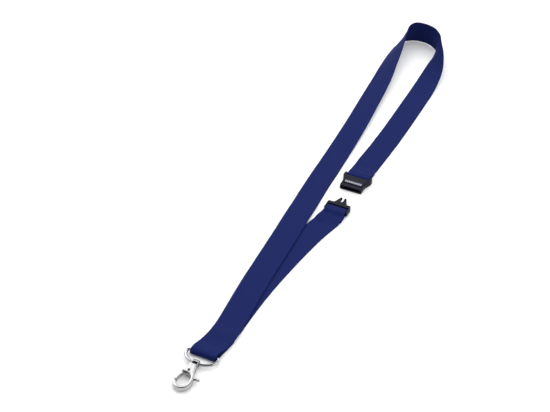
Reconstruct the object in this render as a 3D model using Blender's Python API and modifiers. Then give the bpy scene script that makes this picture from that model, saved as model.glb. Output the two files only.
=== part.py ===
"""Textile neck lanyard with a safety buckle and a snap hook, laid flat on a table.

Local frame while building (millimetres): +X across the ribbon, +Y from the hook
towards the neck loop, +Z up, table at z = 0, D-ring bar centre at x = y = 0.
put() moves every finished piece by SHIFT so that the whole lies centred on the origin.
"""
import math

import bmesh
import bpy
import numpy as np
from mathutils import Matrix, Vector

for old in list(bpy.data.objects):
    bpy.data.objects.remove(old, do_unlink=True)

MM = 0.001

# ---------------------------------------------------------------- driving sizes (mm)
RIBBON_W = 20.0          # woven ribbon width
RIBBON_T = 0.8           # woven ribbon thickness
PLAY = 0.3               # gap between pieces that touch
WIRE_D = 2.2             # D-ring wire
RING_ROOM = 1.6          # ribbon's side play inside the D-ring
RING_LEG = 2.03          # D-ring bar centre to where its side turns into the shoulder
SHOULDER_R = 6.8         # radius of the D-ring's shoulders
RING_CORNER_R = 1.85     # radius of the D-ring's corners at the bar
ARC_R = 17.0             # radius of the D-ring's bottom arc
EYE_PLAY = 0.4           # hook's eye round the ring wire
EYE_W = 5.2              # width of the hook's eye along the wire
EYE_WALL = 1.2           # wall of the eye
HOOK_LEN = 25.6          # eye centre to the hook's outer bottom
HOOK_W = 13.2            # hook body, widest
HOOK_T = 4.0             # hook casting thickness
TRIGGER_T = 1.8          # trigger plate inside the slot
RIVET_D = 1.6
RIVET_PLAY = 0.08        # rivet in its holes, radial
SPRING_WIRE = 0.4
BUCKLE_H = 4.6           # buckle height
BUCKLE_OUT = 2.8         # buckle's centre line beyond one ribbon width
MOUTH_Y = 207.6          # socket mouth
SOCKET_LEN = 15.8        # mouth to the round edge of the socket's ribbon bar
NOSE_LEN = 8.4           # plug nose beyond its shoulder
PLUG_Y = 186.3           # plug shoulder
PLUG_LEN = 9.2           # shoulder to the back of the plug
BAR_T = 1.8              # thickness of both ribbon bars
BAR_W = 2.4              # width of both ribbon bars
GATHER_SOCKET = 1.2      # how much the socket's bar narrows the ribbon
GATHER_PLUG = 3.0        # how much the plug's bar narrows the ribbon
SOCKET_RAIL = 2.1        # rails beside the socket's ribbon bar
PLUG_RAIL = 0.9          # rails beside the plug's ribbon bar
HEM = 12.0               # ribbon folded back under itself at each buckle half

# ---------------------------------------------------------------- fits from the sizes
WIRE_R = WIRE_D / 2
EYE_R_IN = WIRE_R + EYE_PLAY
EYE_R = EYE_R_IN + EYE_WALL
RING_Z = EYE_R                                   # the eye rests on the table
FOLD_R = RING_Z - RIBBON_T / 2                   # ribbon fold about the ring bar
LAYER = RIBBON_T + PLAY
L0 = RIBBON_T / 2
L1 = L0 + LAYER
L2 = L1 + LAYER
HALF = RIBBON_W / 2
BUCKLE_X = RIBBON_W + BUCKLE_OUT                 # centre line of the buckle
SOCKET_IN = RIBBON_W - GATHER_SOCKET + 2 * PLAY  # clear width of the socket's ribbon slot
PLUG_IN = RIBBON_W - GATHER_PLUG + 2 * PLAY      # clear width of the plug's ribbon slot
BAR_Z = BUCKLE_H / 2
WRAP_R = BAR_T / 2 + PLAY + RIBBON_T / 2         # ribbon centre about a buckle bar
SLOT_Y = PLAY + RIBBON_T + PLAY                  # room for the ribbon in a slot
STITCH_END = 22.0                                # tail of the long strap under the stack
RING_W = RIBBON_W + RING_ROOM + 2 * WIRE_D       # D-ring width over the wire
RING_HW = RING_W / 2 - WIRE_R                    # wire centre half width
ARC_HALF = math.asin((RING_HW - SHOULDER_R) / (ARC_R - SHOULDER_R))
ARC_Y = (ARC_R - SHOULDER_R) * math.cos(ARC_HALF) - RING_LEG   # centre of the bottom arc
RING_DEPTH = ARC_R - ARC_Y                       # bar centre to arc centre line
SHIFT = Vector((-6.935, -201.385, 0.0))

main = bpy.data.collections.new("textile_lanyard")
cutters = bpy.data.collections.new("cutters")
bpy.context.scene.collection.children.link(main)
bpy.context.scene.collection.children.link(cutters)


# ---------------------------------------------------------------- helpers
def material(name, rgb, rough, metal=0.0):
    mat = bpy.data.materials.new(name)
    mat.use_nodes = True
    bsdf = mat.node_tree.nodes["Principled BSDF"]
    bsdf.inputs["Base Color"].default_value = (*rgb, 1.0)
    bsdf.inputs["Roughness"].default_value = rough
    bsdf.inputs["Metallic"].default_value = metal
    return mat


def put(obj, mat=None, origin=(0.0, 0.0, 0.0)):
    """Bring a finished mesh to metres in the row frame, with its origin on its joint."""
    obj.data.transform(Matrix.Scale(MM, 4) @ Matrix.Translation(-Vector(origin)))
    obj.location = (Vector(origin) + SHIFT) * MM
    if mat:
        obj.data.materials.clear()
        obj.data.materials.append(mat)


def new_object(name, bm, collection=None):
    bmesh.ops.recalc_face_normals(bm, faces=bm.faces)
    mesh = bpy.data.meshes.new(name)
    bm.to_mesh(mesh)
    bm.free()
    obj = bpy.data.objects.new(name, mesh)
    (collection or main).objects.link(obj)
    if collection is cutters:
        obj.hide_render = True
        obj.display_type = "WIRE"
    return obj


def curve_mesh(name, curve, collection=None):
    """Turn a curve into a closed mesh object."""
    temp = bpy.data.objects.new(name + "_curve", curve)
    bpy.context.scene.collection.objects.link(temp)
    deps = bpy.context.evaluated_depsgraph_get()
    deps.update()
    bm = bmesh.new()
    bm.from_mesh(bpy.data.meshes.new_from_object(temp.evaluated_get(deps)))
    bpy.data.objects.remove(temp, do_unlink=True)
    bmesh.ops.remove_doubles(bm, verts=bm.verts, dist=1e-4)
    bmesh.ops.dissolve_limit(bm, angle_limit=math.radians(0.2), verts=bm.verts, edges=bm.edges)
    return new_object(name, bm, collection)


def poly_curve(points, dimensions, cyclic):
    curve = bpy.data.curves.new("outline", "CURVE")
    curve.dimensions = dimensions
    line = curve.splines.new("POLY")
    line.points.add(len(points) - 1)
    for point, co in zip(line.points, points):
        point.co = (*co, *(0.0,) * (3 - len(co)), 1.0)
    line.use_cyclic_u = cyclic
    return curve


def prism(name, outline, z0, z1, collection=None):
    """Extrude a plan outline (list of x, y) from z0 to z1."""
    curve = poly_curve(outline, "2D", True)
    curve.fill_mode = "BOTH"
    curve.extrude = (z1 - z0) / 2
    obj = curve_mesh(name, curve, collection)
    obj.data.transform(Matrix.Translation((0, 0, (z0 + z1) / 2)))
    return obj


def wire(name, points, diameter, resolution, cyclic, collection=None):
    """Round wire along points; resolution 2 gives 8 sides, each further step 2 more."""
    curve = poly_curve(points, "3D", cyclic)
    curve.bevel_depth = diameter / 2
    curve.bevel_resolution = resolution
    curve.use_fill_caps = not cyclic
    curve.twist_mode = "Z_UP"
    return curve_mesh(name, curve, collection)


def box(name, x0, x1, y0, y1, z0, z1, collection=None):
    bm = bmesh.new()
    bmesh.ops.create_cube(bm, size=1.0)
    bm.transform(Matrix.Translation(((x0 + x1) / 2, (y0 + y1) / 2, (z0 + z1) / 2))
                 @ Matrix.Diagonal((x1 - x0, y1 - y0, z1 - z0, 1.0)))
    return new_object(name, bm, collection)


def cylinder(name, radius, length, centre, axis, sides, collection=None):
    """Closed cylinder about X or Z through centre."""
    bm = bmesh.new()
    bmesh.ops.create_cone(bm, cap_ends=True, segments=sides, radius1=radius, radius2=radius,
                          depth=length)
    turn = Matrix.Rotation(math.pi / 2, 4, "Y") if axis == "X" else Matrix.Identity(4)
    bm.transform(Matrix.Translation(centre) @ turn)
    return new_object(name, bm, collection)


def apply_modifiers(obj):
    deps = bpy.context.evaluated_depsgraph_get()
    deps.update()
    mesh = bpy.data.meshes.new_from_object(obj.evaluated_get(deps))
    obj.modifiers.clear()
    obj.data = mesh


def boolean(obj, tool, how):
    mod = obj.modifiers.new(how.lower(), "BOOLEAN")
    mod.operation = how
    mod.solver = "EXACT"
    mod.object = tool
    apply_modifiers(obj)
    if how == "UNION":
        bpy.data.objects.remove(tool, do_unlink=True)


def soften(obj, width, segments=2, angle=35.0):
    mod = obj.modifiers.new("edge_round", "BEVEL")
    mod.width = width
    mod.segments = segments
    mod.limit_method = "ANGLE"
    mod.angle_limit = math.radians(angle)
    mod.use_clamp_overlap = True
    apply_modifiers(obj)


def spline(points, step):
    """Smooth curve through rows of numbers; the first three columns give the length.

    Column 2 (height) gets limited slopes, so that it never dips between two rows.
    """
    p = np.array(points, float)
    h = np.linalg.norm(np.diff(p[:, :3], axis=0), axis=1)
    slope = np.diff(p, axis=0) / h[:, None]
    m = np.vstack([slope[:1], (slope[:-1] * h[1:, None] + slope[1:] * h[:-1, None])
                   / (h[:-1] + h[1:])[:, None], slope[-1:]])
    for i in range(1, len(p) - 1):
        a, b = slope[i - 1, 2], slope[i, 2]
        m[i, 2] = 0.0 if a * b <= 0 else 3 * a * b / (a + b + max(a, b, key=abs))
    out = []
    for i in range(len(h)):
        parts = max(1, math.ceil(h[i] / step))
        for k in range(parts):
            u = k / parts
            out.append((2 * u ** 3 - 3 * u ** 2 + 1) * p[i] + (3 * u ** 2 - 2 * u ** 3) * p[i + 1]
                       + (u ** 3 - 2 * u ** 2 + u) * h[i] * m[i] + (u ** 3 - u ** 2) * h[i] * m[i + 1])
    out.append(p[-1])
    return np.array(out)


def ribbon(name, stations, step=3.0, columns=4):
    """Closed strip along stations of (x, y, z, wx, wy, wz, share): centre, width direction
    and the share of its full width that the ribbon has there."""
    rows = spline(stations, step)
    centre = rows[:, :3]
    tangent = np.gradient(centre, axis=0)
    tangent /= np.linalg.norm(tangent, axis=1)[:, None]
    width = rows[:, 3:6]
    width = width - (width * tangent).sum(1)[:, None] * tangent
    width /= np.linalg.norm(width, axis=1)[:, None]
    normal = np.cross(width, tangent)
    halves = rows[:, 6] * HALF
    reach = np.abs(width[:, 2]) * halves + np.abs(normal[:, 2]) * RIBBON_T / 2
    centre[:, 2] = np.maximum(centre[:, 2], reach)           # nothing below the table
    bm = bmesh.new()
    rings = []
    for c, w, n, half in zip(centre, width, normal, halves):
        ring = []
        for side in (1, -1):
            cols = [(-1 + 2 * k / columns) for k in range(columns + 1)]
            for f in (cols if side == 1 else cols[::-1]):
                ring.append(bm.verts.new(c + w * f * half + n * side * RIBBON_T / 2))
        rings.append(ring)
    for a, b in zip(rings, rings[1:]):
        for i in range(len(a)):
            j = (i + 1) % len(a)
            bm.faces.new((a[i], a[j], b[j], b[i]))
    for ring in (rings[0], rings[-1]):
        for k in range(columns):
            bm.faces.new((ring[k], ring[k + 1], ring[-2 - k], ring[-1 - k]))
    length = float(np.linalg.norm(np.diff(centre, axis=0), axis=1).sum())
    print(f"{name}: developed length {length:.1f} mm")
    return new_object(name, bm)


def wrap(x, y_end, away, height_start, gather):
    """Ribbon over a buckle bar with its round edge at y_end, then back under it.

    away is +1 where the ribbon leaves towards +Y and -1 where it leaves towards -Y.
    gather is how much narrower the ribbon gets on the bar.
    The stations run from the free main run to the tail end of the hem.
    """
    cy = y_end + away * BAR_T / 2                 # centre of the bar's round edge
    run = [(x, y_end + away * 17.0, L0, 0.0), (x, y_end + away * 12.8, height_start, 0.1),
           (x, y_end + away * 8.2, height_start + 0.75, 0.45),
           (x, cy + away * 3.8, BAR_Z + WRAP_R, 1.0)]
    for k in range(0, 181, 20):
        ang = math.radians(k)
        run.append((x, cy - away * WRAP_R * math.sin(ang), BAR_Z + WRAP_R * math.cos(ang), 1.0))
    run += [(x, cy + away * 3.8, BAR_Z - WRAP_R, 1.0), (x, cy + away * 6.0, L0, 0.7),
            (x, y_end + away * HEM, L0, 0.2)]
    return [((px, py, pz), (1.0, 0.0, 0.0, 1 - share * gather / RIBBON_W))
            for px, py, pz, share in run]


# ---------------------------------------------------------------- materials
blue = material("ribbon_polyester_blue", (0.015, 0.026, 0.155), 0.75)
plastic = material("buckle_pom_anthracite", (0.055, 0.053, 0.075), 0.5)
nickel = material("nickel_plated_zinc", (0.72, 0.71, 0.69), 0.22, 1.0)
steel = material("spring_steel", (0.5, 0.5, 0.5), 0.3, 1.0)

# ---------------------------------------------------------------- long strap
# D-ring tail -> round the bar -> left arm -> neck loop -> right arm -> socket bar -> hem
X_RING = 1.3
X_FOLD = 1.8
X_LOW = 4.6              # both straps' centre line just above the stitched stack
flat = (1.0, 0.0, 0.0, 1.0)


def lean(wx, wy):
    return (wx, wy, math.sqrt(max(0.0, 1 - wx * wx - wy * wy)), 1.0)


long_path = [((X_FOLD + 2.8, STITCH_END, L0), flat), ((X_FOLD + 1.7, 14.0, L0), flat),
             ((X_FOLD + 0.4, 6.0, L0), flat)]
for k in range(0, 181, 15):
    ang = math.radians(k)
    long_path.append(((X_FOLD, -FOLD_R * math.sin(ang), RING_Z - FOLD_R * math.cos(ang)), flat))
long_path += [((x, y, z), flat) for x, y, z in (
    (X_FOLD, 2.2, RING_Z + FOLD_R - 0.12), (X_FOLD + 0.4, 6.0, RING_Z + FOLD_R - 0.9),
    (X_FOLD + 1.2, 10.5, L2 + 0.45), (X_FOLD + 1.9, 15.0, L2 + 0.04), (X_FOLD + 2.6, 20.0, L2),
    (4.6, 25.0, L2 - 0.05), (4.5, 31.0, L1 + 0.28), (4.0, 39.0, L1), (2.9, 54.0, L1),
    (1.3, 78.0, L1), (0.3, 104.0, L1), (-0.8, 134.0, L1), (-1.9, 158.0, L1),
    (-2.8, 176.0, L0 + 0.5), (-4.0, 198.0, L0))]
long_path += [((x, y, L0 + HALF * w[2]), w) for x, y, w in (
    (-4.8, 230.0, lean(1.0, 0.0)), (-5.6, 262.0, lean(0.998, 0.0)),
    (-6.9, 295.0, lean(0.990, 0.0)), (-8.6, 322.0, lean(0.980, 0.0)),
    (-9.9, 343.0, lean(0.965, 0.0)), (-11.1, 361.0, lean(0.933, 0.0)),
    (-12.8, 378.0, lean(0.870, 0.0)), (-14.1, 393.0, lean(0.795, 0.01)),
    (-15.2, 407.0, lean(0.68, 0.02)), (-15.6, 420.0, lean(0.50, 0.03)),
    (-13.8, 431.0, lean(0.27, 0.02)), (-7.9, 437.0, lean(0.07, 0.02)),
    (1.3, 437.7, lean(0.0, 0.02)), (10.4, 434.2, lean(0.04, 0.02)),
    (16.4, 428.0, lean(0.14, -0.08)), (19.6, 418.0, lean(0.35, -0.16)),
    (23.0, 405.0, lean(0.70, -0.05)), (25.4, 391.0, lean(0.92, 0.0)),
    (26.2, 374.0, lean(0.993, 0.0)), (26.2, 350.0, lean(1.0, 0.0)),
    (25.9, 320.0, lean(1.0, 0.0)), (25.3, 290.0, lean(1.0, 0.0)),
    (24.3, 267.0, lean(1.0, 0.0)))]
SOCKET_BAR_Y = MOUTH_Y + SOCKET_LEN              # round edge of the socket's ribbon bar
long_path += wrap(BUCKLE_X, SOCKET_BAR_Y, 1, L1 + 0.02, GATHER_SOCKET)
long_strap = ribbon("long_strap", [(*c, *w) for c, w in long_path])
put(long_strap, blue)

# ---------------------------------------------------------------- short strap
PLUG_BAR_Y = PLUG_Y - 3.3 - SLOT_Y               # round edge of the plug's ribbon bar
short_path = [((X_FOLD + 0.4, 5.6, L1), flat), ((X_FOLD + 1.4, 12.0, L1), flat),
              ((X_FOLD + 2.6, 20.0, L1), flat), ((X_LOW, 26.0, L1 - 0.12), flat)]
short_path += [((X_LOW + share * (BUCKLE_X - X_LOW), y, z), flat) for share, y, z in (
    (0.0, 33.0, L0 + 0.1), (0.0055, 41.0, L0), (0.055, 67.0, L0), (0.176, 92.0, L0),
    (0.341, 116.0, L0), (0.4945, 134.0, L0), (0.637, 148.0, L0), (0.753, 157.0, L0),
    (0.841, 163.0, L0))]
plug_run = wrap(BUCKLE_X, PLUG_BAR_Y, -1, L1 + 0.02, GATHER_PLUG)[1:]
for n, x in ((0, -1.3), (1, -0.3), (-2, -0.15), (-1, -0.9)):
    (px, py, pz), width = plug_run[n]
    plug_run[n] = ((px + x, py, pz), width)
short_path += plug_run
short_strap = ribbon("short_strap", [(*c, *w) for c, w in short_path])
put(short_strap, blue)

# ---------------------------------------------------------------- D-ring
def arc(cx, cy, radius, start, end, steps):
    """Points of an arc in degrees, without its first point."""
    angles = [math.radians(start + (end - start) * k / steps) for k in range(1, steps + 1)]
    return [(cx + radius * math.cos(a), cy + radius * math.sin(a)) for a in angles]


half_deg = math.degrees(ARC_HALF)
half_path = [(0.0, -RING_DEPTH)] + arc(0.0, ARC_Y, ARC_R, -90, -90 + half_deg, 6)
half_path += arc(RING_HW - SHOULDER_R, -RING_LEG, SHOULDER_R, -90 + half_deg, 0, 6)
half_path += arc(RING_HW - RING_CORNER_R, -RING_CORNER_R, RING_CORNER_R, 0, 90, 4)
ring_path = half_path + [(-x, y) for x, y in half_path[:0:-1]]
d_ring = wire("d_ring", [(X_RING + x, y, RING_Z) for x, y in ring_path], WIRE_D, 6, True)
put(d_ring, nickel, (X_RING, 0.0, RING_Z))

# ---------------------------------------------------------------- snap hook body
EX, EY = X_RING - 0.8, -RING_DEPTH                # eye centre
KX, KY = HOOK_W / 13.2, HOOK_LEN / 27.2           # outline scales with the hook's size


def hook_pts(points):
    return [(EX + x * KX, EY + y * KY) for x, y in points]


def smooth(points, step):
    rows = spline([(x, y, 0.0) for x, y in points], step)
    return [(float(r[0]), float(r[1])) for r in rows]


outer = smooth([(2.65, -1.6), (2.85, -4.4), (3.6, -7.6), (4.8, -11.0), (6.0, -14.6), (6.65, -18.2),
                (6.5, -21.4), (5.2, -24.4), (2.9, -26.4), (0.1, -27.2), (-2.7, -26.4),
                (-5.0, -24.3), (-6.2, -21.9), (-6.45, -19.85)], 1.1)
inner = smooth([(-4.35, -20.9), (-3.85, -21.9), (-2.5, -23.6), (-0.2, -24.8), (2.2, -24.0),
                (3.9, -21.8), (4.35, -18.6), (4.0, -15.6), (3.1, -13.2), (1.6, -11.9),
                (-0.6, -11.4), (-2.6, -11.3)], 1.1)
left = [(-5.15, -10.7), (-4.85, -9.6), (-4.0, -6.8), (-3.0, -4.2), (-2.65, -1.6)]
claw_outline = hook_pts(outer + inner + left)
claw = prism("hook_body", claw_outline, RING_Z - HOOK_T / 2, RING_Z + HOOK_T / 2)
soften(claw, 0.85, 4)
eye = cylinder("eye_add", EYE_R, EYE_W * 0.999, (EX, EY, RING_Z), "X", 32)
soften(eye, 0.7, 3)
boolean(claw, eye, "UNION")
bore = cylinder("eye_cut", EYE_R_IN, EYE_W * 3, (EX, EY, RING_Z), "X", 32, cutters)
boolean(claw, bore, "DIFFERENCE")
SLOT_T = TRIGGER_T + 2 * PLAY
PIVOT = (EX - 0.3 * KX, EY - 9.0 * KY)
slot_pts = hook_pts([(-9.0, -5.9), (9.0, -5.9), (9.0, -14.9), (5.7, -15.0), (3.0, -14.0),
                     (2.0, -12.6), (-9.0, -12.6)])
slot = prism("slot_cut", slot_pts, RING_Z - SLOT_T / 2, RING_Z + SLOT_T / 2, cutters)
boolean(claw, slot, "DIFFERENCE")
pin_hole = cylinder("pin_cut", RIVET_D / 2 + RIVET_PLAY, HOOK_T * 2, (*PIVOT, RING_Z), "Z", 20,
                    cutters)
boolean(claw, pin_hole, "DIFFERENCE")
put(claw, nickel, (X_RING, ARC_Y, RING_Z))

# ---------------------------------------------------------------- rivet
rivet = cylinder("hook_rivet", RIVET_D / 2, HOOK_T - 0.1, (*PIVOT, RING_Z), "Z", 20)
soften(rivet, 0.15, 2)
put(rivet, nickel, (X_RING, ARC_Y, RING_Z))

# ---------------------------------------------------------------- trigger
hub_r = 2.5
px, py = (PIVOT[0] - EX) / KX, (PIVOT[1] - EY) / KY
hub = [(px + hub_r * math.cos(math.radians(a)), py + hub_r * math.sin(math.radians(a)))
       for a in range(-20, 201, 20)]
tab = [(3.3, -11.9), (5.2, -12.6), (9.6, -12.9), (10.1, -13.3), (10.1, -14.0), (9.6, -14.4),
       (5.2, -14.2), (3.2, -13.3), (1.9, -12.2), (0.2, -11.75), (-1.6, -11.9), (-2.6, -12.6)]
gate_in = [(-3.3, -14.4), (-4.0, -16.6), (-4.25, -20.35)]
gate_out = [(-6.4, -19.5), (-6.35, -17.2), (-6.0, -14.4), (-5.5, -12.2), (-4.6, -10.6)]
plate_pts = hook_pts(hub[::-1] + tab + gate_in + gate_out)
trigger = prism("hook_trigger", plate_pts, RING_Z - TRIGGER_T / 2, RING_Z + TRIGGER_T / 2)
soften(trigger, 0.2, 2)
thick = prism("gate_add", hook_pts([(-5.55, -11.35), (-2.75, -12.2), (-3.35, -14.4), (-4.05, -16.6),
                                    (-4.3, -20.38), (-6.42, -19.52), (-6.4, -17.2),
                                    (-6.05, -14.4)]),
              RING_Z - HOOK_T / 2 + 0.5, RING_Z + HOOK_T / 2 - 0.5)
soften(thick, 0.4, 2)
boolean(trigger, thick, "UNION")
pin_bore = cylinder("pin_bore_cut", RIVET_D / 2 + RIVET_PLAY, HOOK_T * 2, (*PIVOT, RING_Z), "Z", 20,
                    cutters)
boolean(trigger, pin_bore, "DIFFERENCE")
COIL_R = RIVET_D / 2 + 0.25 + SPRING_WIRE / 2
pocket_floor = RING_Z + TRIGGER_T / 2 - 1.3
pocket = cylinder("pocket_cut", COIL_R + SPRING_WIRE / 2 + 0.25, 3.0,
                  (*PIVOT, pocket_floor + 1.5), "Z", 28, cutters)
boolean(trigger, pocket, "DIFFERENCE")
notch = box("notch_cut", PIVOT[0] - 1.7, PIVOT[0] + 1.7, PIVOT[1], PIVOT[1] + 4.0,
            pocket_floor, pocket_floor + 3.0, cutters)
boolean(trigger, notch, "DIFFERENCE")
put(trigger, nickel, (*PIVOT, RING_Z))

# ---------------------------------------------------------------- torsion spring
TURNS = 1.5
z_low = pocket_floor + 0.1 + SPRING_WIRE / 2
PITCH = SPRING_WIRE + 0.1
coil = []
for k in range(0, int(24 * TURNS) + 1):
    a = math.radians(-90 + k * 15)
    coil.append(Vector((PIVOT[0] + COIL_R * math.cos(a), PIVOT[1] + COIL_R * math.sin(a),
                        z_low + PITCH * k / 24)))
leg = coil[-1] + Vector((-0.45, 0.75, 0.02))
coil += [coil[-1] + Vector((-0.12, 0.3, 0.0)), leg, leg + Vector((-0.05, 0.6, 0.0))]
spring = wire("trigger_spring", coil, SPRING_WIRE, 2, False)
put(spring, steel, (X_RING, ARC_Y, RING_Z))

# ---------------------------------------------------------------- buckle socket
FRAME_HW = SOCKET_IN / 2 + SOCKET_RAIL            # outer half width at the ribbon bar
MOUTH_HW = 9.2 * RIBBON_W / 20.0
SY = MOUTH_Y
END_Y = SOCKET_BAR_Y + BAR_W - 0.4
PANEL_END = SOCKET_BAR_Y - SLOT_Y                 # the slot starts here


def ribbon_bar(name, owner, slot_in, round_y, away, far_y):
    """Open the frame from its slot outwards and set a round-edged bar in it."""
    cut = box(name + "_open_cut", BUCKLE_X - slot_in / 2, BUCKLE_X + slot_in / 2,
              *sorted((round_y - away * SLOT_Y, far_y + away * 1.0)), -1.0, BUCKLE_H + 1, cutters)
    boolean(owner, cut, "DIFFERENCE")
    y0, y1 = sorted((round_y + away * BAR_T / 2, round_y + away * (BAR_W - BAR_T / 2)))
    section = (arc(y1, BAR_Z, BAR_T / 2, -90 - 22.5, 90, 9)
               + arc(y0, BAR_Z, BAR_T / 2, 90 - 22.5, 270, 9))
    bar = prism(name + "_bar_add", section, -slot_in / 2 - 0.5, slot_in / 2 + 0.5)
    bar.data.transform(Matrix(((0, 0, 1, BUCKLE_X), (1, 0, 0, 0), (0, 1, 0, 0), (0, 0, 0, 1))))
    boolean(owner, bar, "UNION")


def mirror_x(points):
    """Close a half outline, given from low y to high y on the +X side."""
    return [(BUCKLE_X + x, y) for x, y in points] + [(BUCKLE_X - x, y) for x, y in points[::-1]]


socket = prism("buckle_socket", mirror_x([
    (MOUTH_HW - 0.3, SY), (MOUTH_HW, SY + 0.4), (MOUTH_HW, PANEL_END - 7.9),
    (MOUTH_HW + 0.5, PANEL_END - 5.6), (MOUTH_HW + 1.3, PANEL_END - 3.4),
    (FRAME_HW - 0.5, PANEL_END - 1.8), (FRAME_HW, PANEL_END - 0.8),
    (FRAME_HW, END_Y - 0.6),
    (FRAME_HW - 0.6, END_Y)]), 0.0, BUCKLE_H - 0.5)
soften(socket, 0.4, 3)
panel = prism("panel_add", mirror_x([
    (MOUTH_HW - 0.75, SY + 3.6), (MOUTH_HW - 0.7, PANEL_END - 7.4),
    (MOUTH_HW - 0.3, PANEL_END - 5.2), (MOUTH_HW + 0.3, PANEL_END - 2.8),
    (FRAME_HW - 2.0, PANEL_END - 0.35)]),
    BUCKLE_H - 2.0, BUCKLE_H)
soften(panel, 0.35, 3)
boolean(socket, panel, "UNION")
ribbon_bar("socket", socket, SOCKET_IN, SOCKET_BAR_Y, 1, END_Y)


def nose(grow, front):
    """Half outline of the arrow nose, grown by a clearance; y counts from the shoulder."""
    k = RIBBON_W / 20.0
    n = NOSE_LEN / 8.4
    return [(6.4 * k + grow, front), (5.9 * k + grow, 0.9 * n + grow),
            (4.4 * k + grow, 2.9 * n + grow), (3.5 * k + grow, 5.6 * n + grow),
            (2.2 * k + grow, NOSE_LEN + grow)]


NOSE_T = 1.8
cavity = prism("cavity_cut", [(x, SY + y if y > -1 else SY - 1.0) for x, y in (
    [(BUCKLE_X + x, y) for x, y in nose(PLAY, -2.0)]
    + [(BUCKLE_X - x, y) for x, y in nose(PLAY, -2.0)[::-1]])],
    BAR_Z - NOSE_T / 2 - PLAY, BAR_Z + NOSE_T / 2 + PLAY, cutters)
boolean(socket, cavity, "DIFFERENCE")
lip = box("lip_cut", BUCKLE_X - MOUTH_HW + 1.1, BUCKLE_X + MOUTH_HW - 1.1, SY - 1, SY + 1.3,
          BAR_Z - NOSE_T / 2 - PLAY, BAR_Z + NOSE_T / 2 + PLAY, cutters)
boolean(socket, lip, "DIFFERENCE")
put(socket, plastic)

# ---------------------------------------------------------------- buckle plug
PY = PLUG_Y
BACK_Y = PY - PLUG_LEN
PLUG_HW = PLUG_IN / 2 + PLUG_RAIL
plug = prism("buckle_plug", mirror_x([
    (PLUG_HW - 0.5, BACK_Y), (PLUG_HW, BACK_Y + 0.5), (PLUG_HW, PY - 1.6), (PLUG_HW - 0.3, PY - 0.4),
    (PLUG_HW - 0.8, PY)]), 0.2, BUCKLE_H - 0.3)
soften(plug, 0.35, 2)
tongue_pts = ([(BUCKLE_X + x, PY + y if y > -1 else PY - 1.5) for x, y in nose(0.0, -2.0)]
              + [(BUCKLE_X + 0.75, PY + NOSE_LEN * 0.96), (BUCKLE_X + 1.1, PY + NOSE_LEN * 0.6),
                 (BUCKLE_X + 1.0, PY + NOSE_LEN * 0.4), (BUCKLE_X, PY + NOSE_LEN * 0.3)])
tongue_pts += [(2 * BUCKLE_X - x, y) for x, y in tongue_pts[-2::-1]]
tongue = prism("tongue_add", tongue_pts, BAR_Z - NOSE_T / 2, BAR_Z + NOSE_T / 2)
soften(tongue, 0.25, 2)
boolean(plug, tongue, "UNION")
ribbon_bar("plug", plug, PLUG_IN, PLUG_BAR_Y, -1, BACK_Y)
put(plug, plastic, (BUCKLE_X, PLUG_Y, BAR_Z))

for tool in cutters.objects:
    put(tool)
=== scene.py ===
# %% [markdown]
# # A woven neck lanyard, laid out on a table
#
# The real thing is one long polyester ribbon and one short one, 20 mm wide, sewn together round the
# bar of a D-ring. A cast snap hook hangs on the ring, and a two-piece safety buckle joins the ribbons.
# The solids come from the imported frame. This script gives each of them its true surface: woven cloth
# with selvedges, sewing thread, bright nickel plate and moulded acetal.

# %% Load the fixed frame, with a helper that reads a part's box
import math

import bmesh
import bpy
import numpy as np
from mathutils import Matrix, Vector


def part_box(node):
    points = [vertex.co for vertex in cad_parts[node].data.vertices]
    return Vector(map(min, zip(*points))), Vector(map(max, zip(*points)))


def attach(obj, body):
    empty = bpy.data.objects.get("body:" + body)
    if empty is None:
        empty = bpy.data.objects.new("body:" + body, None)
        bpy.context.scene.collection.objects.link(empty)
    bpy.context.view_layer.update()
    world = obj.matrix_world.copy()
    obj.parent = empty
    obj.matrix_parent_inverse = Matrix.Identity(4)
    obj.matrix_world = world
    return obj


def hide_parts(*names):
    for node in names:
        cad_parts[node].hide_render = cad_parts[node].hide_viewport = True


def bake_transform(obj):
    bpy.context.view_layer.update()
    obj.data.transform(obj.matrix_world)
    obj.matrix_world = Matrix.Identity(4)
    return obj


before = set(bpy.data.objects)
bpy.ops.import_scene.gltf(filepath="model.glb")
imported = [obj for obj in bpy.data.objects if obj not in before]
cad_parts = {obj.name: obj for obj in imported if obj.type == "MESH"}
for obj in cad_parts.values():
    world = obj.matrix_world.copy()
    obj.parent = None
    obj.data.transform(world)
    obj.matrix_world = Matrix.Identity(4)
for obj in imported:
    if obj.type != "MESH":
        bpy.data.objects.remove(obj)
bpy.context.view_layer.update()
MM = 0.001

# %% [markdown]
# ## Camera and light
#
# The lanyard is seen through a short tele lens, from 40 degrees above the table and 25 degrees to the
# right of straight in front. Four large soft boxes light it, so shadows stay faint. Bright plated metal
# shows only what it mirrors, so it needs dark as well as light round it. The room, made further on,
# gives it that. The lamp overhead is kept out of mirrors: it fills the shadows on table and cloth, and
# leaves no glare on the hook.

# %% Camera and lights
CAMERA_AT = Vector((290.615, -711.685, 628.0)) * MM
CAMERA_TURN, CAMERA_PITCH = math.radians(25.396), math.radians(40.0)
SENSOR_MM, LENS_MM = 36.0, 81.6873


def look(towards):
    """Turn that points a camera or a lamp along a direction."""
    return towards.to_track_quat("-Z", "Y").to_euler()


def make_camera():
    """Camera at its place, level from side to side, pitched down and turned to its left."""
    camera = bpy.data.objects.new("camera", bpy.data.cameras.new("camera"))
    camera.data.sensor_width = SENSOR_MM
    camera.data.lens = LENS_MM
    camera.data.clip_start = 0.01
    camera.location = CAMERA_AT
    camera.rotation_euler = look(Vector((-math.sin(CAMERA_TURN) * math.cos(CAMERA_PITCH),
                                         math.cos(CAMERA_TURN) * math.cos(CAMERA_PITCH),
                                         -math.sin(CAMERA_PITCH))))
    bpy.context.scene.collection.objects.link(camera)
    bpy.context.scene.camera = camera


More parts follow.
